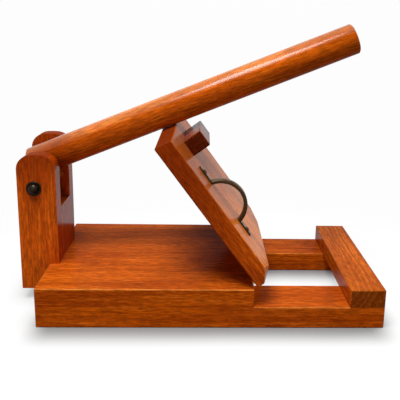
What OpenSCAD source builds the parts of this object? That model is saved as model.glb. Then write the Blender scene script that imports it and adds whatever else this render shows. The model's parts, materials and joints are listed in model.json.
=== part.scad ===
// Wooden tortilla press: a two-rail base with a fixed lower plate, a hinged upper plate, and a round lever
// that pivots in a fork post and bears on a block on the upper plate.
// X runs along the base from the fork post to the end crossbar, Y from front to back, Z up.
// The origin is on the table, under the middle of the whole length and width.

/* [Base] */
// Length of the two rails
rail_len = 389; // [340:1:460]
// Width of each rail
rail_w = 55; // [40:1:70]
// Height of each rail
rail_h = 25; // [18:0.5:35]
// Width of the whole base, front to back
base_w = 208; // [190:1:240]
// Length of the lower plate
board_len = 241; // [225:1:265]
// Thickness of the lower plate
board_t = 21; // [15:0.5:28]
// Width of the end crossbar
crossbar_w = 40; // [25:1:60]
// Thickness of the end crossbar
crossbar_t = 21; // [15:0.5:28]
// Size of the small flat that breaks each long edge
edge_ease = 1; // [0.5:0.1:2]

/* [Fork post] */
// Thickness of the post behind the lower plate's end
heel_t = 34; // [26:0.5:40]
// Length of the post's foot on the lower plate
foot_len = 11; // [10:0.5:18]
// Middle of the post, to the back of the base's middle
post_shift = 5; // [0:0.5:14]
// Width of the post, front to back
post_w = 84; // [80:1:110]
// Underside of the heel above the table
heel_z = 14; // [5:1:20]
// Top of the front ear above the table
ear_top = 179.5; // [176:0.5:190]
// Extra height of the back ear
ear_rise = 13; // [0:0.5:15]
// Radius of the ears' top corners
ear_corner_r = 17; // [8:0.5:20]
// Radius of the ears' crowned tops
ear_crown_r = 70; // [50:1:120]
// Width of the slot between the ears
slot_w = 46; // [42:1:56]
// Bottom of the slot above the table
slot_z = 112; // [100:1:112]

/* [Pivot] */
// Pivot pin behind the lower plate's end
pin_back = 14.5; // [10:0.5:16]
// Pivot pin's axis above the table
pin_z = 139.6; // [138:0.1:144]
// Radius of the pivot pin
pin_r = 4; // [2.5:0.25:5]
// Radius of the pin's head and of its cap nut
pin_head_r = 6.2; // [5.8:0.1:7]
// Height of the straight side of the head and the nut
pin_head_side = 1.8; // [1.5:0.1:3]
// Height of their domes
pin_dome_h = 4; // [3:0.5:6]
// Length of the pin inside its nut
nut_grip = 3; // [2:0.5:3]
// Radius of the washers
washer_r = 8.8; // [8:0.1:10]
// Thickness of the washers
washer_t = 1.4; // [1:0.1:2]
// Running clearance round the pivot pin
pin_clear = 0.05; // [0.02:0.01:0.1]

/* [Lever] */
// Diameter of the round lever
lever_d = 37; // [30:0.5:38]
// Height of the lever's axis over the pivot pin, square to the lever
lever_rise = 24; // [24:0.5:27]
// Length of the lever in front of the pivot pin
lever_reach = 416.5; // [380:0.5:440]
// Length of the lever behind the pivot pin
lever_tail = 3.5; // [2:0.5:3.5]
// Gap between the lever and the corner of the upper plate that it rests on
rest_gap = 0.3; // [0.3:0.1:1]
// Bevel on the lever's ends
lever_bevel = 1.5; // [0.5:0.25:4]
// Radius of the knuckle's underside
knuckle_r = 14; // [11:0.5:16]
// Length of the knuckle behind the pivot pin, at the lever
knuckle_back = 11; // [8:0.5:11]
// Length of the knuckle in front of the pivot pin
knuckle_front = 18; // [14.5:0.5:19]
// Gap between the knuckle and each ear
knuckle_side_gap = 0.5; // [0.3:0.1:1.5]

/* [Upper plate] */
// Length of the upper plate
lid_len = 188; // [165:0.5:190]
// Thickness of the upper plate
lid_t = 20; // [15:0.5:21.5]
// Extra length of the plate's inner face, as its free end is cut at a slant for the lever to lie on
end_slant = 4; // [0:0.5:5]
// Angle that the upper plate stands open
lid_open = 53.7; // [40:0.1:54]
// Gap between the closed plates
plate_gap = 0.5; // [0.3:0.1:3]
// Depth that the upper plate's lowest corner is cut back, plumb as it stands open
heel_cut = 1; // [0.5:0.1:4]
// Further depth of that cut at the plate's two sides
heel_skew = 8; // [0.5:0.1:9]
// Length of each slanted end of that cut
heel_skew_len = 30; // [15:1:32]
// Press block, from the upper plate's free end
block_inset = 17; // [10:0.5:24]
// Length of the press block along the plate
block_len = 21; // [15:0.5:21.5]
// Height of the press block
block_h = 23; // [15:0.5:28]
// Width of the press block, front to back
block_w = 70; // [60:1:80]
// Middle of the press block, to the front of the plate's middle
block_shift = 3; // [0:0.5:6]

/* [Pull] */
// Start of the pull, from the upper plate's free end
pull_inset = 48; // [46:1:60]
// Middle of the pull, from the front of the plate
pull_front = 48; // [20:1:58]
// Length over the pull's two feet
pull_len = 102; // [90:1:110]
// Span of the pull's bow at the plate
pull_span = 61; // [50:1:64]
// Height of the pull's bow
pull_h = 25; // [16:0.5:28]
// Width of the pull's strap
pull_strap_w = 9; // [6:0.5:12]
// Thickness of the pull's strap
pull_strap_t = 4.4; // [3:0.2:6]
// Thickness of the pull's feet
pull_foot_t = 2; // [1.5:0.1:3]

/* [Hinges] */
// Hinge axis, out from the lower plate's end
hinge_out = 4; // [3.6:0.1:5]
// Hinge axis, below the lower plate's top
hinge_drop = 2; // [1.5:0.1:3]
// Width of each hinge, front to back
hinge_w = 40; // [30:1:50]
// Middle of each hinge, from the side of the plate
hinge_inset = 45; // [40:1:60]
// Height of each hinge leaf
leaf_h = 15; // [14:0.5:16]
// Thickness of each hinge leaf
leaf_t = 1.5; // [1.2:0.1:2]
// Radius of the hinge barrel
barrel_r = 3.2; // [2.8:0.1:3.5]
// Radius of the hinge pin
hinge_pin_r = 1.6; // [1.2:0.1:1.8]
// Gap between neighbouring hinge knuckles
knuckle_gap = 0.3; // [0.2:0.05:0.6]

/* [Fasteners] */
// Shank radius of the base screws
base_screw_r = 2; // [1.5:0.25:2.5]
// Length of the base screws
base_screw_len = 37; // [34:1:40]
// Shank radius of the post's heel screws
heel_screw_r = 2.2; // [1.75:0.05:2.5]
// Length of the post's heel screws
heel_screw_len = 56; // [50:1:62]
// Shank radius of the post's foot screws
foot_screw_r = 1.8; // [1.5:0.1:2.2]
// Length of the post's foot screws
foot_screw_len = 52; // [45:1:58]
// Shank radius of the knuckle screws
knuckle_screw_r = 1.8; // [1.5:0.1:2]
// Length of the knuckle screws
knuckle_screw_len = 29; // [24:1:31]
// Shank radius of the pull screws
pull_screw_r = 1.6; // [1.2:0.1:2]
// Length of the pull screws under their heads
pull_screw_len = 15; // [10:1:17]
// Shank radius of the hinge screws
leaf_screw_r = 1.3; // [1:0.1:1.5]
// Length of the hinge screws
leaf_screw_len = 13; // [9:1:16]
// Radius of the block's dowels
dowel_r = 4; // [3:0.5:5]
// Length of the block's dowels
dowel_len = 24; // [16:1:28]

/* [Hidden] */

$fn = 64;
cut = 1;                 // how far a cutter runs past the face that it opens
fit = 0.05;              // gap round a fastener in its hole
head_ratio = 2;          // a screw head's radius over its shank's
head_sink = 0.3;         // depth of a countersunk head below its face
recess_w = 0.45;         // width of a cross recess, over the shank's radius
recess_len = 2.4;        // length of a cross recess, over the shank's radius
recess_deep = 0.8;       // depth of a cross recess, over the shank's radius
point_len = 2;           // length of a screw's point, over the shank's radius
tip_r = 0.2;             // radius of a screw's blunt tip

deck_z = rail_h + board_t;                       // top of the lower plate
ear_mid_y = base_w / 2 + post_shift;             // middle plane of the fork and the lever
post_front = ear_mid_y - post_w / 2;
post_back = ear_mid_y + post_w / 2;
slot_front = ear_mid_y - slot_w / 2;
slot_back = ear_mid_y + slot_w / 2;
origin_x = (rail_len - heel_t) / 2;              // the row's origin, from the lower plate's left end
lever_r = lever_d / 2;
hinge_x = board_len + hinge_out;
hinge_z = deck_z - hinge_drop;
lid_under = hinge_drop + plate_gap;              // underside of the closed plate over the hinge axis
lid_outer = lid_under + lid_t;                   // outer face of the closed plate over the hinge axis
lid_free = -hinge_out - lid_len;                 // free end of the closed plate, from the hinge axis
rest_corner = [lid_free - end_slant * edge_ease / lid_t, lid_outer - edge_ease]; // edge under the lever
rest_x = hinge_x + pin_back + rest_corner.x * cos(lid_open) + rest_corner.y * sin(lid_open);
rest_z = hinge_z - pin_z - rest_corner.x * sin(lid_open) + rest_corner.y * cos(lid_open);
lever_angle = atan2(rest_z, rest_x) - asin((lever_rise - lever_r - rest_gap) / norm([rest_x, rest_z]));
block_mid_y = base_w / 2 - block_shift;
hinge_ys = [hinge_inset, base_w - hinge_inset];
rail_ys = [rail_w / 2, base_w - rail_w / 2];
barrel_part = hinge_w / 5;                       // each hinge has five knuckles
end_screw_share = 0.16;                          // the board's end screws, as a share of its length
knuckle_floor = -knuckle_r / 2;                  // seat of the knuckle screws' heads, from the pin's axis
knuckle_screw_wall = 3;                          // wood in front of the knuckle screws' heads
pull_foot = (pull_len - pull_span) / 2;
pull_screw_in = 0.42 * pull_foot;                // screw of each foot, from the foot's end
pull_screw_xs = [pull_inset + pull_screw_in, pull_inset + pull_len - pull_screw_in];
pull_head_h = 1.1 * pull_screw_r;                // height of the pull screws' round heads
pull_shank_end = pull_screw_len + pull_foot_t - point_len * pull_screw_r;
leaf_start = barrel_r + knuckle_gap;             // each leaf's plate starts this far from the hinge axis
tab_gap = 0.3;                                   // a knuckle's tab stands off the wood by this
leaf_screw_drop = hinge_drop + leaf_h / 2 - 1;   // board leaf's screws below the hinge axis
hinge_dome_r = 0.8 * barrel_r;                   // radius and height of the hinge pins' domed ends
hinge_dome_h = 0.75 * hinge_pin_r;

// Moves a piece from the base's own corner to the row's origin.
module placed() translate([-origin_x, -base_w / 2, 0]) children();

// Lever's own frame: the pivot pin's axis, X along the lever.
module on_lever() placed() translate([-pin_back, ear_mid_y, pin_z]) rotate([0, -lever_angle, 0]) children();

// Upper plate's own frame: the hinge axis, as if closed, turned to where it stands open.
module on_lid() placed() translate([hinge_x, 0, hinge_z]) rotate([0, lid_open, 0]) children();

// Outline of a bar with its corners broken.
module eased_rect(w, h, e)
    polygon([[e, 0], [w - e, 0], [w, e], [w, h - e], [w - e, h], [e, h], [0, h - e], [0, e]]);

// Bar with all its edges broken.
module eased_bar(size, e = edge_ease) intersection() {
    linear_extrude(size.z) eased_rect(size.x, size.y, e);
    translate([0, size.y, 0]) rotate([90, 0, 0]) linear_extrude(size.y) eased_rect(size.x, size.z, e);
    rotate([90, 0, 90]) linear_extrude(size.x) eased_rect(size.y, size.z, e);
}

// The same, but square along its underside, where it lies on another piece.
module top_eased_bar(size) intersection() {
    translate([0, 0, -edge_ease]) eased_bar(size + [0, 0, edge_ease]);
    cube(size);
}

// Countersunk wood screw along +Z, its head's face at z = 0; grow widens and lengthens it for its hole.
module wood_screw(r, len, grow = 0) {
    head_r = head_ratio * r;
    rotate_extrude() polygon([[0, 0], [head_r + grow, 0], [r + grow, head_r - r],
                              [r + grow, len - point_len * r], [tip_r + grow, len + grow], [0, len + grow]]);
}
module screw(r, len) difference() {
    wood_screw(r, len);
    cross_recess(r);
}
module cross_recess(r) for (turn = [0, 90])
    rotate([0, 0, turn]) translate([-recess_len * r / 2, -recess_w * r / 2, -cut])
        cube([recess_len * r, recess_w * r, recess_deep * r + cut]);

// Hole for the same screw, with the countersink opened to the face.
module screw_hole(r, len) {
    wood_screw(r, len, fit);
    translate([0, 0, -head_sink - cut]) cylinder(r = head_ratio * r + fit, h = head_sink + cut + 0.001);
}

// Places of the screws, each turned so that +Z points into the wood.
module at_board_screws() for (x = [end_screw_share, 0.5, 1 - end_screw_share], y = rail_ys)
    translate([x * board_len, y, head_sink]) children();
module at_crossbar_screws() for (y = rail_ys, side = [-1, 1])
    translate([rail_len - crossbar_w / 2 + side * crossbar_w / 5, y + side * rail_w / 5, head_sink])
        children();
module at_heel_screws() for (side = [-1, 1])
    translate([head_sink - heel_t, ear_mid_y + side * post_w / 4, rail_h + board_t / 2])
        rotate([0, 90, 0]) children();
module at_foot_screws() for (side = [-1, 1])
    translate([foot_len / 2, ear_mid_y + side * post_w / 3, rail_h + head_sink]) children();
module at_knuckle_screws() for (side = [-1, 1])
    translate([knuckle_front - head_ratio * knuckle_screw_r - knuckle_screw_wall, side * lever_r / 2,
               knuckle_floor]) children();
module at_pull_screws() for (x = pull_screw_xs) translate([lid_free + x, pull_front, lid_outer + pull_foot_t])
    rotate([180, 0, 0]) children();
module at_dowels() for (side = [-1, 1])
    translate([lid_free + block_inset + block_len / 2, block_mid_y + side * block_w / 4,
               lid_outer - dowel_len / 2]) children();
module at_leaf_screws(y) for (side = [-1, 0, 1]) translate([0, y + side * hinge_w / 3, 0]) children();
module at_board_leaf_screws(y) at_leaf_screws(y)
    translate([hinge_x - hinge_out + leaf_t - head_sink, 0, hinge_z - leaf_screw_drop])
        rotate([0, -90, 0]) children();
module at_lid_leaf_screws(y) at_leaf_screws(y)
    translate([leaf_t - hinge_out - head_sink, 0, lid_under + leaf_h / 2]) rotate([0, -90, 0]) children();

// Base. A rail's top edges are broken only between the lower plate and the crossbar.
module rail(y) placed() difference() {
    translate([0, y, rail_h]) mirror([0, 0, 1]) top_eased_bar([rail_len, rail_w, rail_h]);
    for (edge_y = [y, y + rail_w]) translate([board_len, edge_y, rail_h]) rotate([45, 0, 0])
        translate([0, -edge_ease / sqrt(2), -edge_ease / sqrt(2)])
            cube([rail_len - crossbar_w - board_len, sqrt(2) * edge_ease, sqrt(2) * edge_ease]);
    at_board_screws() screw_hole(base_screw_r, base_screw_len);
    at_crossbar_screws() screw_hole(base_screw_r, base_screw_len);
}
module front_rail() color("saddlebrown") rail(0);
module back_rail() color("saddlebrown") rail(base_w - rail_w);
module base_board() color("sienna") placed() difference() {
    translate([0, 0, rail_h]) top_eased_bar([board_len, base_w, board_t]);
    at_board_screws() screw_hole(base_screw_r, base_screw_len);
    at_heel_screws() screw_hole(heel_screw_r, heel_screw_len);
    at_foot_screws() screw_hole(foot_screw_r, foot_screw_len);
    for (y = hinge_ys) at_board_leaf_screws(y) screw_hole(leaf_screw_r, leaf_screw_len);
}
module end_crossbar() color("sienna") placed() difference() {
    translate([rail_len - crossbar_w, 0, rail_h]) top_eased_bar([crossbar_w, base_w, crossbar_t]);
    at_crossbar_screws() screw_hole(base_screw_r, base_screw_len);
}

// Side outline of the post from z0 up to a crowned top with round corners, all arcs tangent.
module ear_outline(z0, top) {
    half = (heel_t + foot_len) / 2;
    mid = half - heel_t;
    crown_z = top - ear_crown_r;
    corner_x = half - ear_corner_r;
    corner_z = crown_z + sqrt(pow(ear_crown_r - ear_corner_r, 2) - pow(corner_x, 2));
    translate([mid - half, z0]) square([2 * half, corner_z - z0]);
    for (side = [-1, 1]) translate([mid + side * corner_x, corner_z]) circle(r = ear_corner_r);
    reach = 2 * ear_crown_r / (ear_crown_r - ear_corner_r);
    intersection() {
        translate([mid, crown_z]) circle(r = ear_crown_r, $fn = 128);
        translate([mid, crown_z]) polygon([[0, 0], [corner_x, corner_z - crown_z] * reach,
                                           [-corner_x, corner_z - crown_z] * reach]);
    }
}
module stand(y0, y1) translate([0, y1, 0]) rotate([90, 0, 0]) linear_extrude(y1 - y0) children();

module fork_post() color("chocolate") placed() difference() {
    union() {
        stand(post_front, slot_front) ear_outline(deck_z, ear_top);
        stand(slot_back, post_back) ear_outline(deck_z, ear_top + ear_rise);
        translate([-heel_t, post_front, deck_z]) cube([heel_t + foot_len, post_w, slot_z - deck_z]);
        translate([-heel_t, post_front, heel_z]) cube([heel_t, post_w, deck_z - heel_z]);
    }
    along_pin(post_front - cut) cylinder(r = pin_r + pin_clear, h = post_w + 2 * cut);
    at_heel_screws() screw_hole(heel_screw_r, heel_screw_len);
    at_foot_screws() screw_hole(foot_screw_r, foot_screw_len);
}

// Along the pivot pin's axis, from y to the back.
module along_pin(y) translate([-pin_back, y, pin_z]) rotate([-90, 0, 0]) children();

// Half outline of a head that stands on y = 0.
module head_outline() {
    square([pin_head_r, pin_head_side]);
    translate([0, pin_head_side]) dome_outline(pin_head_r, pin_dome_h);
}

// Round pin with a domed head in front and a cap nut at the back, each on a washer.
module pivot_pin() color("dimgray") placed() along_pin(post_front - washer_t) rotate_extrude() {
    square([pin_r, post_w + 2 * washer_t + nut_grip]);
    mirror([0, 1]) head_outline();
}
module pin_nut() color("dimgray") placed() along_pin(post_back + washer_t) difference() {
    rotate_extrude() head_outline();
    translate([0, 0, -cut]) cylinder(r = pin_r + fit, h = nut_grip + fit + cut);
}
module pin_washers() color("gray") placed() for (y = [post_front - washer_t, post_back])
    along_pin(y) difference() {
        cylinder(r = washer_r, h = washer_t);
        translate([0, 0, -cut]) cylinder(r = pin_r + fit, h = washer_t + 2 * cut);
    }
// Half outline of a dome of base radius r and height h, standing on y = 0.
module dome_outline(r, h) {
    ball = (r * r + h * h) / (2 * h);
    intersection() {
        translate([0, h - ball]) circle(r = ball, $fn = 96);
        square([r, h]);
    }
}

module board_screws() color("gray") placed() at_board_screws() screw(base_screw_r, base_screw_len);
module crossbar_screws() color("gray") placed() at_crossbar_screws() screw(base_screw_r, base_screw_len);
module heel_screws() color("gray") placed() at_heel_screws() screw(heel_screw_r, heel_screw_len);
module foot_screws() color("gray") placed() at_foot_screws() screw(foot_screw_r, foot_screw_len);

// Lever
module lever_rod() color("peru") on_lever() difference() {
    translate([-lever_tail, 0, lever_rise]) rotate([0, 90, 0]) rotate_extrude($fn = 96)
        eased_half(lever_r, lever_tail + lever_reach, lever_bevel);
    at_knuckle_screws() wood_screw(knuckle_screw_r, knuckle_screw_len, fit);
}
// Half outline of a round bar with bevelled ends.
module eased_half(r, len, e) polygon([[0, 0], [r - e, 0], [r, e], [r, len - e], [r - e, len], [0, len]]);

module lever_knuckle() color("saddlebrown") on_lever() difference() {
    width = slot_w - 2 * knuckle_side_gap;
    stand(-width / 2, width / 2) {
        circle(r = knuckle_r);
        translate([-knuckle_back, 0]) square([knuckle_back + knuckle_front, lever_rise]);
        translate([0, knuckle_floor]) square([knuckle_front, lever_rise - knuckle_floor]);
    }
    translate([-knuckle_r - cut, 0, lever_rise]) rotate([0, 90, 0])
        cylinder(r = lever_r + fit, h = knuckle_r + knuckle_front + 2 * cut, $fn = 96);
    rotate([90, 0, 0]) cylinder(r = pin_r + pin_clear, h = slot_w, center = true);
    at_knuckle_screws() screw_hole(knuckle_screw_r, knuckle_screw_len);
}
module knuckle_screws() color("gray") on_lever() at_knuckle_screws()
    screw(knuckle_screw_r, knuckle_screw_len);

// Upper plate. Its lowest corner is cut plumb as the plate stands open, so that it clears the rails.
module heel_cutter() {
    corner_x = lid_outer * sin(lid_open) - hinge_out * cos(lid_open);
    flat_x = corner_x - heel_cut;
    side_x = flat_x - heel_skew;
    rotate([0, -lid_open, 0]) linear_extrude(2 * lid_outer)
        polygon([[side_x, -cut], [side_x, 0], [flat_x, heel_skew_len], [flat_x, base_w - heel_skew_len],
                 [side_x, base_w], [side_x, base_w + cut], [corner_x + cut, base_w + cut],
                 [corner_x + cut, -cut]]);
}
module lid_bar() intersection() {
    slope = end_slant / lid_t;
    e = edge_ease;
    stand(0, base_w) polygon([[lid_free - end_slant + e, lid_under], [-hinge_out - e, lid_under],
                              [-hinge_out, lid_under + e], [-hinge_out, lid_outer - e],
                              [-hinge_out - e, lid_outer], [lid_free + e, lid_outer],
                              [lid_free - slope * e, lid_outer - e],
                              [lid_free - slope * (lid_t - e), lid_under + e]]);
    translate([lid_free - end_slant, 0, lid_under]) rotate([90, 0, 90])
        linear_extrude(lid_len + end_slant) eased_rect(base_w, lid_t, e);
}
module lid_plate() color("sienna") on_lid() difference() {
    lid_bar();
    heel_cutter();
    at_dowels() cylinder(r = dowel_r + fit, h = dowel_len + fit);
    at_pull_screws() translate([0, 0, pull_foot_t - cut])
        cylinder(r = pull_screw_r + fit, h = pull_screw_len + cut);
    for (y = hinge_ys) at_lid_leaf_screws(y) screw_hole(leaf_screw_r, leaf_screw_len);
}
module press_block() color("saddlebrown") on_lid() difference() {
    translate([lid_free + block_inset, block_mid_y - block_w / 2, lid_outer])
        top_eased_bar([block_len, block_w, block_h]);
    at_dowels() cylinder(r = dowel_r + fit, h = dowel_len + fit);
}
module block_dowels() color("burlywood") on_lid() at_dowels() cylinder(r = dowel_r, h = dowel_len);

// Bow pull: two flat feet and a round bow between them.
module bow_pull() color("darkslategray") on_lid() difference() {
    mid_x = lid_free + pull_inset + pull_len / 2;
    bow_r = (pow(pull_span / 2, 2) + pow(pull_h, 2)) / (2 * pull_h);
    translate([mid_x, pull_front, lid_outer]) {
        intersection() {
            translate([0, 0, pull_h - bow_r]) rotate([90, 0, 0]) rotate_extrude($fn = 96)
                translate([bow_r - pull_strap_t, 0]) strap_section();
            translate([-pull_len / 2, -pull_strap_w, 0]) cube([pull_len, 2 * pull_strap_w, pull_h + cut]);
        }
        for (side = [0, 1]) mirror([side, 0, 0])
            translate([pull_span / 2 - pull_strap_t, -pull_strap_w / 2, 0])
                pull_foot_plate(pull_foot + pull_strap_t);
    }
    at_pull_screws() translate([0, 0, -cut]) cylinder(r = pull_screw_r + fit, h = pull_foot_t + 2 * cut);
}
// Section of the bow's strap, rounded on its outside.
module strap_section() translate([0, -pull_strap_w / 2]) {
    square([pull_strap_t / 2, pull_strap_w]);
    translate([0, pull_strap_t / 2]) square([pull_strap_t, pull_strap_w - pull_strap_t]);
    for (y = [pull_strap_t / 2, pull_strap_w - pull_strap_t / 2]) translate([pull_strap_t / 2, y])
        circle(d = pull_strap_t);
}
// Flat foot with a round end.
module pull_foot_plate(len) linear_extrude(pull_foot_t) {
    square([len - pull_strap_w / 2, pull_strap_w]);
    translate([len - pull_strap_w / 2, pull_strap_w / 2]) circle(d = pull_strap_w);
}
// Round-headed screws that hold the pull.
module pull_screws() color("dimgray") on_lid() at_pull_screws() difference() {
    union() {
        cylinder(r = pull_screw_r, h = pull_shank_end);
        translate([0, 0, pull_shank_end - 0.001])
            cylinder(r1 = pull_screw_r, r2 = tip_r, h = point_len * pull_screw_r - fit);
        mirror([0, 0, 1]) rotate_extrude() dome_outline(head_ratio * pull_screw_r, pull_head_h);
    }
    translate([0, 0, -pull_head_h]) cross_recess(pull_screw_r);
}

// Hinges. Knuckles 0, 2 and 4 belong to the board's leaf, 1 and 3 to the upper plate's. Each knuckle has
// a tab that joins it to its leaf, up if side is above zero and down if not.
module barrel(i, y, side) translate([0, y - hinge_w / 2 + i * barrel_part + knuckle_gap / 2, 0]) {
    run = barrel_part - knuckle_gap;
    rotate([-90, 0, 0]) cylinder(r = barrel_r, h = run);
    mirror([0, 0, side > 0 ? 0 : 1]) translate([tab_gap - hinge_out, 0, 0])
        cube([leaf_t - tab_gap, run, leaf_start + leaf_t]);
}
module leaf_bore(y) translate([0, y - hinge_w / 2 - cut, 0]) rotate([-90, 0, 0])
    cylinder(r = hinge_pin_r + fit, h = hinge_w + 2 * cut, $fn = 48);
module board_leaf(y) difference() {
    placed() translate([hinge_x, 0, hinge_z]) difference() {
        union() {
            translate([-hinge_out, y - hinge_w / 2, -leaf_h - hinge_drop])
                cube([leaf_t, hinge_w, leaf_h + hinge_drop - leaf_start]);
            for (i = [0, 2, 4]) barrel(i, y, -1);
        }
        leaf_bore(y);
    }
    placed() at_board_leaf_screws(y) screw_hole(leaf_screw_r, leaf_screw_len);
}
module lid_leaf(y) on_lid() difference() {
    union() {
        translate([-hinge_out, y - hinge_w / 2, leaf_start])
            cube([leaf_t, hinge_w, lid_under + leaf_h - leaf_start]);
        for (i = [1, 3]) barrel(i, y, 1);
    }
    leaf_bore(y);
    at_lid_leaf_screws(y) screw_hole(leaf_screw_r, leaf_screw_len);
}
module hinge_pin(y) placed() translate([hinge_x, y - hinge_w / 2, hinge_z]) rotate([-90, 0, 0])
    rotate_extrude($fn = 48) {
        square([hinge_pin_r, hinge_w]);
        mirror([0, 1]) dome_outline(hinge_dome_r, hinge_dome_h);
        translate([0, hinge_w]) dome_outline(hinge_dome_r, hinge_dome_h);
    }
module front_board_leaf() color("darkgoldenrod") board_leaf(hinge_ys[0]);
module back_board_leaf() color("darkgoldenrod") board_leaf(hinge_ys[1]);
module front_lid_leaf() color("darkgoldenrod") lid_leaf(hinge_ys[0]);
module back_lid_leaf() color("darkgoldenrod") lid_leaf(hinge_ys[1]);
module front_hinge_pin() color("goldenrod") hinge_pin(hinge_ys[0]);
module back_hinge_pin() color("goldenrod") hinge_pin(hinge_ys[1]);
module board_leaf_screws() color("goldenrod") placed() for (y = hinge_ys) at_board_leaf_screws(y)
    screw(leaf_screw_r, leaf_screw_len);
module lid_leaf_screws() color("goldenrod") on_lid() for (y = hinge_ys) at_lid_leaf_screws(y)
    screw(leaf_screw_r, leaf_screw_len);

front_rail();
back_rail();
base_board();
end_crossbar();
fork_post();
board_screws();
crossbar_screws();
heel_screws();
foot_screws();
pivot_pin();
pin_nut();
pin_washers();
lever_rod();
lever_knuckle();
knuckle_screws();
lid_plate();
press_block();
block_dowels();
bow_pull();
pull_screws();
front_board_leaf();
back_board_leaf();
front_lid_leaf();
back_lid_leaf();
front_hinge_pin();
back_hinge_pin();
board_leaf_screws();
lid_leaf_screws();
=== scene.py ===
import bmesh
import bpy
import json
import math
from mathutils import Matrix, Vector


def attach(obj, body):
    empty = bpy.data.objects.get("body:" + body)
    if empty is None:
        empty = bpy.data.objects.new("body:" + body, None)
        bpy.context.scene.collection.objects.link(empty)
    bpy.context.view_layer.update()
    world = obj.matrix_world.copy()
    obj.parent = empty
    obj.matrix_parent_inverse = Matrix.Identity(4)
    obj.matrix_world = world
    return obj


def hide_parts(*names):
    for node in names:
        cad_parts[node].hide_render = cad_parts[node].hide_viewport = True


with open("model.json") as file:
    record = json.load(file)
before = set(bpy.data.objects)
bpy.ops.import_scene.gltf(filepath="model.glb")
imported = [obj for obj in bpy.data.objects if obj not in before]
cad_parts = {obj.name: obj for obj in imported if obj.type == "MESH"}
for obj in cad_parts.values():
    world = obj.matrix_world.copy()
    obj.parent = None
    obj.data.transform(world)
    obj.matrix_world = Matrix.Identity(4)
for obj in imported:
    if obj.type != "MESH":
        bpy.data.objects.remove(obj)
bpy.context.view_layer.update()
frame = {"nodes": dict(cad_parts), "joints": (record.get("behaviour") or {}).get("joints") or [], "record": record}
nodes = frame["nodes"]
scene = bpy.context.scene
scene.view_settings.view_transform = "Standard"

MM = 0.001
JOINTS = {joint["name"]: joint for joint in frame["joints"]}
SLOT_OF = {part["node"]: part["material_slot"] for part in frame["record"]["subparts"]}
BODY_OF = {name: body
           for body, names in frame["record"]["behaviour"]["bodies"].items()
           for name in names}


# ---------------------------------------------------------------- which way the grain runs

def span(node, axis):
    """Lowest and highest place of a node along one axis: 0 for X, 1 for Y, 2 for Z."""
    places = [vertex.co[axis] for vertex in nodes[node].data.vertices]
    return min(places), max(places)


def along_bar(node, reach=8 * MM):
    """Direction of a long bar, from the middle of its left end to the middle of its right end."""
    points = [vertex.co for vertex in nodes[node].data.vertices]
    left, right = span(node, 0)

    def middle(group):
        return sum(group, Vector()) / len(group)

    start = middle([point for point in points if point.x < left + reach])
    end = middle([point for point in points if point.x > right - reach])
    return (end - start).normalized()


# How far the upper plate stands open.
LID_OPEN = math.radians(-JOINTS["plate_hinge"]["range_deg"][0])

ALONG_BASE = Vector((1, 0, 0))
ACROSS_BASE = Vector((0, 1, 0))
UPRIGHT = Vector((0, 0, 1))
ALONG_LEVER = along_bar("lever_rod")
ALONG_LID = Vector((-math.cos(LID_OPEN), 0, math.sin(LID_OPEN)))
LID_OUTWARD = Vector((math.sin(LID_OPEN), 0, math.cos(LID_OPEN)))
LEVER_UPWARD = ALONG_LEVER.cross(ACROSS_BASE).normalized()


# ---------------------------------------------------------------- shader node helpers

class Nodes:
    """Short ways to add and join shader nodes in one tree."""

    def __init__(self, tree):
        self.tree = tree

    def feed(self, socket, value):
        if isinstance(value, bpy.types.NodeSocket):
            self.tree.links.new(value, socket)
        else:
            socket.default_value = value

    def add(self, kind, settings=None, **sockets):
        node = self.tree.nodes.new(kind)
        for key, value in (settings or {}).items():
            setattr(node, key, value)
        for key, value in sockets.items():
            self.feed(node.inputs[key], value)
        return node

    def stretched(self, vector, scale):
        return self.add("ShaderNodeMapping", Vector=vector, Scale=scale).outputs["Vector"]

    def noise(self, vector, scale=1.0, detail=2.0, roughness=0.5, distortion=0.0):
        return self.add("ShaderNodeTexNoise", Vector=vector, Scale=scale, Detail=detail,
                        Roughness=roughness, Distortion=distortion).outputs["Fac"]

    def fibrous(self, vector, along, across, **look):
        """Noise drawn out along X: so many spots to the metre along the grain and across it."""
        return self.noise(self.stretched(vector, (along, across, across)), **look)

    def band(self, value, low, high, out_low=0.0, out_high=1.0):
        """Smooth change from out_low to out_high as the value goes from low to high."""
        node = self.add("ShaderNodeMapRange", {"interpolation_type": "SMOOTHSTEP"}, Value=value)
        for socket, number in zip(node.inputs[1:5], (low, high, out_low, out_high)):
            socket.default_value = number
        return node.outputs["Result"]

    def math(self, kind, a, b=0.0):
        node = self.add("ShaderNodeMath", {"operation": kind})
        self.feed(node.inputs[0], a)
        self.feed(node.inputs[1], b)
        return node.outputs["Value"]

    def times(self, first, *others):
        """Product of two or more numbers."""
        product = first
        for other in others:
            product = self.math("MULTIPLY", product, other)
        return product

    def measured(self, kind, *vectors):
        """The number that LENGTH or DOT_PRODUCT gives."""
        node = self.add("ShaderNodeVectorMath", {"operation": kind})
        for socket, vector in zip(node.inputs, vectors):
            self.feed(socket, vector)
        return node.outputs["Value"]

    def mix(self, factor, a, b, blend="MIX"):
        node = self.add("ShaderNodeMix", {"data_type": "RGBA", "blend_type": blend})
        self.feed(node.inputs["Factor"], factor)
        self.feed(node.inputs[6], a)
        self.feed(node.inputs[7], b)
        return node.outputs[2]

    def tinted(self, colour, tint):
        return self.mix(1.0, colour, tint, "MULTIPLY")

    def grey(self, value):
        grey = self.add("ShaderNodeCombineColor", Red=value, Green=value, Blue=value)
        return grey.outputs["Color"]


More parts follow.
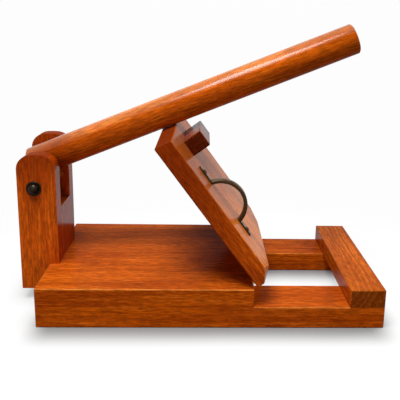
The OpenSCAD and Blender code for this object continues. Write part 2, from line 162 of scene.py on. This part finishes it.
def new_group(name, inputs, outputs):
    """Empty shader node group with its sockets: {name: default} in and {name: kind} out."""
    group = bpy.data.node_groups.new(name, "ShaderNodeTree")
    kinds = {float: "NodeSocketFloat", tuple: "NodeSocketColor", type(None): "NodeSocketVector"}
    for label, default in inputs.items():
        socket = group.interface.new_socket(label, in_out="INPUT",
                                            socket_type=kinds[type(default)])
        if default is not None:
            socket.default_value = default
    for label, kind in outputs.items():
        group.interface.new_socket(label, in_out="OUTPUT", socket_type=kind)
    given = group.nodes.new("NodeGroupInput").outputs
    result = group.nodes.new("NodeGroupOutput").inputs
    return Nodes(group), given, result


# ---------------------------------------------------------------- wood and metal

LAYERS_PER_METRE = 210.0
LAYER_WANDER = 5.0  # how many layers a layer strays over
# How far the darker spans go below the dark wood; some of those spans are painted shade.
DARKENING_TINT = (0.75, 0.7, 0.7, 1)
END_TINT = (0.62, 0.66, 0.9, 1)
VARNISH_ROUGHNESS = (0.17, 0.23)
END_ROUGHNESS = 0.38  # how much rougher the end grain is
FULL_DARKENING = 0.85
GRAIN_DEPTH = 0.2 * MM
SCALE_DEPTH = 0.1 * MM  # of the fine scale on old metal


def make_mahogany():
    """Straight reddish grain along X of the Vector, in metres from the heart of the tree: growth
    layers, long soft shades, light streaks, dark clefts, fine fibres and short dark pores, and a
    darker, rougher end grain."""
    make, given, result = new_group(
        "mahogany",
        {"Vector": None, "Base": (0.5, 0.1, 0.01, 1), "Dark": (0.2, 0.03, 0.004, 1),
         "Light": (0.7, 0.17, 0.02, 1), "Layers": 0.45, "Shades": 0.7, "Streaks": 0.5,
         "Pores": 0.5, "Stain": 0.0, "End": 0.0},
        {"Color": "NodeSocketColor", "Roughness": "NodeSocketFloat", "Height": "NodeSocketFloat"})
    vector = given["Vector"]
    from_heart = make.measured("LENGTH", make.stretched(vector, (0, 1, 1)))
    layer_place = make.math("ADD", make.times(from_heart, LAYERS_PER_METRE),
                            make.times(make.fibrous(vector, 5, 16, detail=2), LAYER_WANDER))
    layer_noise = make.add("ShaderNodeTexNoise", {"noise_dimensions": "1D"},
                           W=layer_place, Scale=1.0, Detail=2.0)
    layers = make.band(layer_noise.outputs["Fac"], 0.40, 0.64)
    shades = make.band(make.fibrous(vector, 5, 30, detail=4, distortion=0.4), 0.38, 0.62)
    streaks = make.band(make.fibrous(vector, 15, 400, detail=4, roughness=0.6), 0.46, 0.66)
    clefts = make.band(make.fibrous(vector, 18, 430, detail=3, roughness=0.6), 0.52, 0.70)
    fibres = make.fibrous(vector, 85, 520, detail=4, roughness=0.7)
    pores = make.band(make.fibrous(vector, 120, 800, detail=1), 0.60, 0.70)

    colour = make.mix(make.times(shades, given["Shades"]), given["Base"], given["Dark"])
    colour = make.mix(make.times(streaks, given["Streaks"]), colour, given["Light"])
    colour = make.mix(make.times(layers, given["Layers"]), colour, given["Dark"])
    colour = make.mix(make.times(clefts, given["Pores"]), colour, given["Dark"])
    # Darker spans set by each material: painted shade at the lever's root and on the far ear's inner face.
    colour = make.mix(given["Stain"], colour, make.tinted(given["Dark"], DARKENING_TINT))
    colour = make.tinted(colour, make.grey(make.band(fibres, 0.34, 0.66, 0.64, 1.2)))
    colour = make.mix(make.times(pores, given["Pores"]), colour, given["Dark"])
    make.feed(result["Color"], make.mix(given["End"], colour, make.tinted(colour, END_TINT)))
    roughness = make.band(streaks, 0.0, 1.0, *VARNISH_ROUGHNESS)
    make.feed(result["Roughness"],
              make.math("ADD", roughness, make.times(given["End"], END_ROUGHNESS)))
    make.feed(result["Height"], make.math("SUBTRACT", make.times(fibres, 0.35), pores))
    return make.tree


def make_wear_and_sheen_finish():
    """Lightens the wood unevenly, grain and all, where its mask says: wear and painted highlight."""
    make, given, result = new_group(
        "wear_and_sheen_finish",
        {"Vector": None, "Color": (0.5, 0.1, 0.01, 1), "Wear_And_Sheen": (0.87, 0.34, 0.065, 1),
         "Thin": 0.0},
        {"Color": "NodeSocketColor"})
    uneven = make.band(make.noise(given["Vector"], scale=55.0, detail=3), 0.3, 0.6, 0.6, 1.0)
    red = make.add("ShaderNodeSeparateColor", Color=given["Color"]).outputs["Red"]
    wear_and_sheen = make.tinted(given["Wear_And_Sheen"], make.grey(make.band(red, 0.25, 0.75, 0.55, 1.15)))
    lightening = make.times(uneven, given["Thin"])
    make.feed(result["Color"], make.mix(lightening, given["Color"], wear_and_sheen))
    return make.tree


def make_patina():
    """Old metal: a dark skin with finer, brighter rubbed patches, and brighter edges: wear, and a painted
    highlight where they face up.
    """
    make, given, result = new_group(
        "patina",
        {"Vector": None, "Skin": (0.05, 0.04, 0.03, 1), "Bright": (0.3, 0.2, 0.1, 1), "Rub": 0.4,
         "Edge": 0.0, "Dull": 0.35},
        {"Color": "NodeSocketColor", "Roughness": "NodeSocketFloat", "Height": "NodeSocketFloat"})
    mottle = make.noise(given["Vector"], scale=260.0, detail=4, roughness=0.6)
    patches = make.times(make.band(mottle, 0.45, 0.7), given["Rub"])
    edges = make.times(make.band(mottle, 0.35, 0.6, 0.15, 0.6), given["Edge"])
    worn_and_lit = make.math("MAXIMUM", patches, edges)
    make.feed(result["Color"], make.mix(worn_and_lit, given["Skin"], given["Bright"]))
    make.feed(result["Roughness"], make.math("ADD", given["Dull"],
                                             make.band(mottle, 0.3, 0.7, -0.08, 0.1)))
    make.feed(result["Height"], make.noise(given["Vector"], scale=1500.0, detail=2))
    return make.tree


MAHOGANY = make_mahogany()
WEAR_AND_SHEEN_FINISH = make_wear_and_sheen_finish()
PATINA = make_patina()


def opaque(colour):
    return (*colour, 1)


def new_material(name):
    """Empty material, with what builds it, its shader and its mask of worn and highlit edges."""
    material = bpy.data.materials.new(name)
    material.use_nodes = True
    make = Nodes(material.node_tree)
    edge = make.add("ShaderNodeAttribute", {"attribute_name": "edge"}).outputs["Fac"]
    return material, make, material.node_tree.nodes["Principled BSDF"], edge


def varnished_wood(name, grain, heart, colours, layers=0.45, wear_and_sheen=0.8, ior=1.1, darkened=(),
                   sheen_side=None, polished=False):
    """Stained wood under a clear varnish.
    grain: its direction. heart: a point on the tree's middle line, in millimetres.
    colours: base, dark and light. layers: how much the growth layers show.
    wear_and_sheen: how much the edges are lightened, as wear and as a painted highlight.
    darkened: start and full depth of each darker span, in millimetres along the grain from heart. Some of them are
    painted shade.
    sheen_side: (direction, how much) for the side painted lighter: painted highlight and painted reflection.
    polished: that side is glossy as well."""
    material, make, shader, edge = new_material(name)
    place = make.add("ShaderNodeTexCoord").outputs
    along = make.add("ShaderNodeMapping", {"vector_type": "TEXTURE"}, Vector=place["Object"],
                     Rotation=ALONG_BASE.rotation_difference(grain).to_euler(),
                     Location=Vector(heart) * MM).outputs["Vector"]
    run = make.add("ShaderNodeSeparateXYZ", Vector=along).outputs["X"]
    darkening = 0.0
    for start, full in darkened:
        spread = make.band(run, start * MM, full * MM, 0.0, FULL_DARKENING)
        darkening = make.math("MAXIMUM", darkening, spread)
    facing_end = make.math("ABSOLUTE", make.measured("DOT_PRODUCT", place["Normal"], grain))
    base, dark, light = (opaque(colour) for colour in colours)
    wood = make.add("ShaderNodeGroup", {"node_tree": MAHOGANY}, Vector=along, Base=base,
                    Dark=dark, Light=light, Layers=layers, Stain=darkening,
                    End=make.band(facing_end, 0.75, 0.95)).outputs

    # Edges are lightened: wear, and a painted highlight.
    lightening = make.times(edge, wear_and_sheen)
    # The side that faces the light and the pale room is painted lighter: painted highlight and reflection.
    if sheen_side:
        direction, sheen_strength = sheen_side
        side = make.measured("DOT_PRODUCT", place["Normal"], direction)
        undarkened = make.math("SUBTRACT", 1.0, make.times(darkening, 0.5))
        worn_and_lit = make.times(make.band(side, 0.35, 0.95, 0.0, sheen_strength), undarkened)
        lightening = make.math("MAXIMUM", lightening, worn_and_lit)
    finish = make.add("ShaderNodeGroup", {"node_tree": WEAR_AND_SHEEN_FINISH}, Vector=place["Object"],
                      Color=wood["Color"], Thin=lightening).outputs
    bump = make.add("ShaderNodeBump", Height=wood["Height"], Distance=GRAIN_DEPTH,
                    Strength=0.02 if polished else 0.1).outputs
    make.feed(shader.inputs["Base Color"], finish["Color"])
    make.feed(shader.inputs["Roughness"], wood["Roughness"])
    make.feed(shader.inputs["Normal"], bump["Normal"])
    make.feed(shader.inputs["IOR"], ior)
    if polished:
        make.feed(shader.inputs["Coat Weight"], make.band(side, 0.35, 0.75, 0.0, 0.8))
        make.feed(shader.inputs["Coat IOR"], 1.45)
        make.feed(shader.inputs["Coat Roughness"], 0.2)
    return material


def old_metal(name, skin, bright, rub, dull, metallic=1.0, ior=1.5):
    """Metal under a patina. rub: how much of it is rubbed bright. dull: its roughness."""
    material, make, shader, edge = new_material(name)
    place = make.add("ShaderNodeTexCoord").outputs["Object"]
    metal = make.add("ShaderNodeGroup", {"node_tree": PATINA}, Vector=place, Skin=opaque(skin),
                     Bright=opaque(bright), Rub=rub, Edge=edge, Dull=dull).outputs
    bump = make.add("ShaderNodeBump", Height=metal["Height"], Distance=SCALE_DEPTH,
                    Strength=0.15).outputs
    make.feed(shader.inputs["Base Color"], metal["Color"])
    make.feed(shader.inputs["Roughness"], metal["Roughness"])
    make.feed(shader.inputs["Normal"], bump["Normal"])
    make.feed(shader.inputs["Metallic"], metallic)
    make.feed(shader.inputs["IOR"], ior)
    return material


# Base, dark and light colour of each wood.
BASE_BROWN = ((0.67, 0.112, 0.003), (0.36, 0.042, 0.002), (0.82, 0.165, 0.012))
CROSSBAR_BROWN = ((0.63, 0.122, 0.006), (0.38, 0.060, 0.003), (0.74, 0.165, 0.014))
POST_ORANGE = ((0.70, 0.112, 0.004), (0.44, 0.052, 0.002), (0.86, 0.185, 0.012))
LEVER_ORANGE = ((0.78, 0.140, 0.004), (0.40, 0.058, 0.002), (0.90, 0.225, 0.012))
LID_RED = ((0.76, 0.120, 0.005), (0.36, 0.040, 0.003), (0.74, 0.140, 0.010))
BLOCK_RED = ((0.20, 0.024, 0.002), (0.12, 0.012, 0.001), (0.29, 0.040, 0.004))
PALE_DOWEL = ((0.55, 0.30, 0.12), (0.40, 0.20, 0.07), (0.64, 0.40, 0.18))

WOODS = {
    # The tops of the base pieces are painted a little lighter, a painted highlight.
    "board_wood": dict(grain=ALONG_BASE, heart=(0, 40, -260), colours=BASE_BROWN,
                       wear_and_sheen=0.6, ior=1.045, sheen_side=(UPRIGHT, 0.06)),
    "rail_wood": dict(grain=ALONG_BASE, heart=(0, -30, -220), colours=BASE_BROWN,
                      wear_and_sheen=0.6, ior=1.045, sheen_side=(UPRIGHT, 0.06)),
    "crossbar_wood": dict(grain=ACROSS_BASE, heart=(320, 0, -60), colours=CROSSBAR_BROWN,
                          layers=0.8, wear_and_sheen=0.2, ior=1.06, sheen_side=(UPRIGHT, 0.08)),
    # The post is darker towards its top: a darker tone, and painted shade on the far ear's inner face.
    "post_wood": dict(grain=UPRIGHT, heart=(-190, 210, 0), colours=POST_ORANGE,
                      ior=1.10, darkened=[(120, 185)]),
    # The lever is darker towards its right end, fully from 430 mm on; painted shade darkens its root by the post,
    # 88 to 45 mm.
    # The lever's upper side is painted lighter and more golden: a painted highlight.
    "lever_wood": dict(grain=ALONG_LEVER, heart=(-190, 60, 100), colours=LEVER_ORANGE,
                       ior=1.06, darkened=[(220, 560), (88, 45), (427, 430)],
                       sheen_side=(LEVER_UPWARD, 0.45), polished=True),
    "knuckle_wood": dict(grain=ALONG_LEVER, heart=(-190, -80, 100), colours=LEVER_ORANGE,
                         wear_and_sheen=0.3, ior=1.06),
    # The lid is darker towards its free end.
    # The lid's outer face is painted lighter and more golden: a painted reflection of the pale room.
    "lid_wood": dict(grain=ALONG_LID, heart=(60, -150, -80), colours=LID_RED,
                     wear_and_sheen=0.0, ior=1.045, darkened=[(120, 265)], sheen_side=(LID_OUTWARD, 0.5)),
    "block_wood": dict(grain=ACROSS_BASE, heart=(60, 0, 100), colours=BLOCK_RED,
                       wear_and_sheen=0.15, ior=1.08),
    "dowel_wood": dict(grain=ALONG_LID, heart=(0, 0, 100), colours=PALE_DOWEL,
                       wear_and_sheen=0.0, ior=1.3),
}
METALS = {
    "screw_steel": dict(skin=(0.30, 0.30, 0.31), bright=(0.62, 0.62, 0.63), rub=0.6, dull=0.33),
    "pin_iron": dict(skin=(0.009, 0.007, 0.004), bright=(0.06, 0.048, 0.03), rub=0.15, dull=0.34),
    "pull_bronze": dict(skin=(0.040, 0.021, 0.007), bright=(0.14, 0.08, 0.035), rub=0.15,
                        dull=0.34, metallic=0.3, ior=1.2),
    "hinge_brass": dict(skin=(0.36, 0.20, 0.060), bright=(0.72, 0.48, 0.18), rub=0.5, dull=0.32),
}
FINISH = {name: varnished_wood(name, **look) for name, look in WOODS.items()}
FINISH.update({name: old_metal(name, **look) for name, look in METALS.items()})

for name, part in nodes.items():
    part.data.materials.clear()
    part.data.materials.append(FINISH[SLOT_OF[name]])


# ---------------------------------------------------------------- pieces with softened edges

def finished(name, mesh_data, node):
    """Links a new piece in place of a node, on the node's body and in its finish."""
    piece = bpy.data.objects.new(name, mesh_data)
    scene.collection.objects.link(piece)
    mesh_data.materials.append(FINISH[SLOT_OF[node]])
    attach(piece, BODY_OF[node])
    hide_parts(node)


WIDE_FACE = 4 * MM


def strip_width(face):
    """Width of a long narrow face."""
    return face.calc_area() / max(edge.calc_length() for edge in face.edges)


def softened(node, width, least_turn=30, round_bar=None, worn_and_lit_strip=1.6 * MM):
    """Copy of a node's solid. Outer corners that turn more than least_turn degrees are rounded.
    Strips under worn_and_lit_strip are marked for wear and painted highlight, most where they face up.
    Wide faces are shaded flat. round_bar: direction of a bar whose long faces are all one curve."""
    bm = bmesh.new()
    bm.from_mesh(nodes[node].data)
    bmesh.ops.remove_doubles(bm, verts=bm.verts, dist=0.001 * MM)
    bmesh.ops.dissolve_limit(bm, angle_limit=math.radians(0.5), verts=bm.verts, edges=bm.edges)
    corners = [edge for edge in bm.edges if edge.is_manifold and edge.is_convex
               and edge.calc_face_angle() > math.radians(least_turn)]
    bmesh.ops.bevel(bm, geom=corners, offset=width, offset_type="OFFSET", affect="EDGES",
                    segments=3, profile=0.5, material=-1, clamp_overlap=True)
    bm.normal_update()
    edge_mask = bm.verts.layers.float.new("edge")
    for face in bm.faces:
        along_round_bar = round_bar is not None and abs(face.normal.dot(round_bar)) < 0.5
        face.smooth = strip_width(face) <= WIDE_FACE or along_round_bar
    for vertex in bm.verts:
        in_strip = all(strip_width(face) < worn_and_lit_strip for face in vertex.link_faces)
        # Painted highlight and wear on narrow edge strips, strongest where they face the light above.
        vertex[edge_mask] = float(in_strip) * min(1.0, max(0.1, 0.25 + vertex.normal.z))
    mesh_data = bpy.data.meshes.new(node + "_shaped")
    bm.to_mesh(mesh_data)
    bm.free()
    finished(node + "_shaped", mesh_data, node)


for node in ("front_rail", "back_rail", "base_board", "end_crossbar", "lid_plate", "press_block"):
    softened(node, 0.45 * MM)
softened("fork_post", 1.2 * MM, worn_and_lit_strip=0.9 * MM)
softened("lever_rod", 0.6 * MM, round_bar=ALONG_LEVER, worn_and_lit_strip=0.6 * MM)
softened("lever_knuckle", 0.6 * MM, worn_and_lit_strip=0.6 * MM)
for node in ("bow_pull", "pivot_pin", "pin_nut", "pin_washers"):
    softened(node, 0.4 * MM, least_turn=40)


# ---------------------------------------------------------------- floor, light and camera

def seen_rays(make):
    """1 for rays from the camera and in reflections and glass, 0 for light on other surfaces."""
    rays = make.add("ShaderNodeLightPath").outputs
    return make.math("MAXIMUM", rays["Is Camera Ray"],
                     make.math("MAXIMUM", rays["Is Glossy Ray"], rays["Is Transmission Ray"]))


PAPER_WHITE = 0.983  # brightness of the table and the room
LAMPLIGHT = 0.17  # what the lamps give of the table's brightness
CLOSE_BY = 30 * MM  # how near the object the table darkens
SHADOW_DARKNESS = 0.62
SHADOW_REACH = 47 * MM
UNDER_RAIL = 55 * MM
SHADOW_END = (-18.5 * MM, 17.5 * MM)  # where it starts to fade and is gone, from the rail's end
ROOM_FILL = 0.07
MIDDLE = Vector((0, 0, 0.1))


def front_shadow(make, place, rail):
    """Soft shadow on the table in front of a rail: 1 where there is none."""
    left, right = span(rail, 0)
    front = span(rail, 1)[0]
    half_length = (right - left) / 2
    fade_start, fade_end = (half_length + step for step in SHADOW_END)
    spot = make.add("ShaderNodeSeparateXYZ", Vector=place).outputs
    depth = make.band(spot["Y"], front - SHADOW_REACH, front, 0.0, SHADOW_DARKNESS)
    before = make.band(spot["Y"], front, front + UNDER_RAIL, 1.0, 0.0)
    from_middle = make.math("SUBTRACT", spot["X"], (left + right) / 2)
    beside = make.band(make.math("ABSOLUTE", from_middle), fade_start, fade_end, 1.0, 0.0)
    return make.math("SUBTRACT", 1.0, make.times(depth, before, beside))


def white_table():
    """Pale floor with painted shadow: darker before the rails and close to the object, plain white further out."""
    material = bpy.data.materials.new("white_table")
    material.use_nodes = True
    make = Nodes(material.node_tree)
    shader = material.node_tree.nodes["Principled BSDF"]
    make.feed(shader.inputs["Base Color"], (0.2, 0.2, 0.2, 1))
    make.feed(shader.inputs["Roughness"], 0.9)
    make.feed(shader.inputs["Specular IOR Level"], 0.0)
    place = make.add("ShaderNodeTexCoord").outputs["Object"]
    # Painted contact shade: the table's glow dims where the object is near.
    openness = make.add("ShaderNodeAmbientOcclusion", {"samples": 8}, Distance=CLOSE_BY)
    lit = make.times(make.math("POWER", openness.outputs["AO"], 0.5),
                     front_shadow(make, place, "front_rail"),
                     front_shadow(make, place, "back_rail"))
    glow = make.math("SUBTRACT", make.times(lit, PAPER_WHITE), LAMPLIGHT)
    seen = seen_rays(make)
    make.feed(shader.inputs["Emission Color"], (1, 1, 1, 1))
    make.feed(shader.inputs["Emission Strength"], make.times(seen, glow))
    reach = make.measured("LENGTH", make.stretched(place, (1, 1.3, 1)))
    far = make.times(make.band(reach, 0.27, 0.50), seen)
    white = make.add("ShaderNodeEmission", Color=(1, 1, 1, 1), Strength=PAPER_WHITE)
    blend = make.add("ShaderNodeMixShader", Fac=far)
    make.feed(blend.inputs[1], shader.outputs["BSDF"])
    make.feed(blend.inputs[2], white.outputs["Emission"])
    output = material.node_tree.nodes["Material Output"]
    make.feed(output.inputs["Surface"], blend.outputs["Shader"])
    return material


def lamp(name, place, size, power):
    """Soft rectangular lamp that points at the object's middle."""
    data = bpy.data.lights.new(name, "AREA")
    data.shape = "RECTANGLE"
    data.size, data.size_y = size
    data.energy = power
    lamp_object = bpy.data.objects.new(name, data)
    scene.collection.objects.link(lamp_object)
    lamp_object.location = place
    lamp_object.rotation_euler = (MIDDLE - Vector(place)).to_track_quat("-Z", "Y").to_euler()


def studio():
    """White table and room, and three soft lamps."""
    bm = bmesh.new()
    bmesh.ops.create_grid(bm, x_segments=1, y_segments=1, size=8.0)
    floor_mesh = bpy.data.meshes.new("table")
    bm.to_mesh(floor_mesh)
    bm.free()
    floor = bpy.data.objects.new("table", floor_mesh)
    scene.collection.objects.link(floor)
    floor_mesh.materials.append(white_table())

    world = bpy.data.worlds.new("white_room")
    scene.world = world
    world.use_nodes = True
    make = Nodes(world.node_tree)
    background = world.node_tree.nodes["Background"]
    seen = make.times(seen_rays(make), PAPER_WHITE - ROOM_FILL)
    make.feed(background.inputs["Color"], (1, 1, 1, 1))
    make.feed(background.inputs["Strength"], make.math("ADD", ROOM_FILL, seen))

    lamp("softbox", place=(-0.22, -0.40, 1.30), size=(0.6, 0.5), power=18.0)
    lamp("side_light", place=(1.00, 0.30, 0.75), size=(0.5, 0.5), power=5.8)
    lamp("front_fill", place=(-0.25, -1.7, 0.25), size=(1.2, 0.4), power=4.3)


def camera():
    """Stands in front, about the object's middle, and looks down 12 degrees."""
    stand = Vector((5.335, -678.973, 331.713)) * MM
    yaw, pitch, roll = (math.radians(angle) for angle in (-2.378, 12.294, 1.326))
    data = bpy.data.cameras.new("view")
    data.sensor_width = 36
    data.lens = 50.906
    data.shift_x = -0.0668
    data.shift_y = -0.1306
    data.clip_end = 50
    view = bpy.data.objects.new("view", data)
    scene.collection.objects.link(view)
    turn = (Matrix.Rotation(yaw, 4, "Z") @ Matrix.Rotation(math.radians(90) - pitch, 4, "X")
            @ Matrix.Rotation(roll, 4, "Z"))
    view.matrix_world = Matrix.Translation(stand) @ turn
    scene.camera = view


studio()
camera()
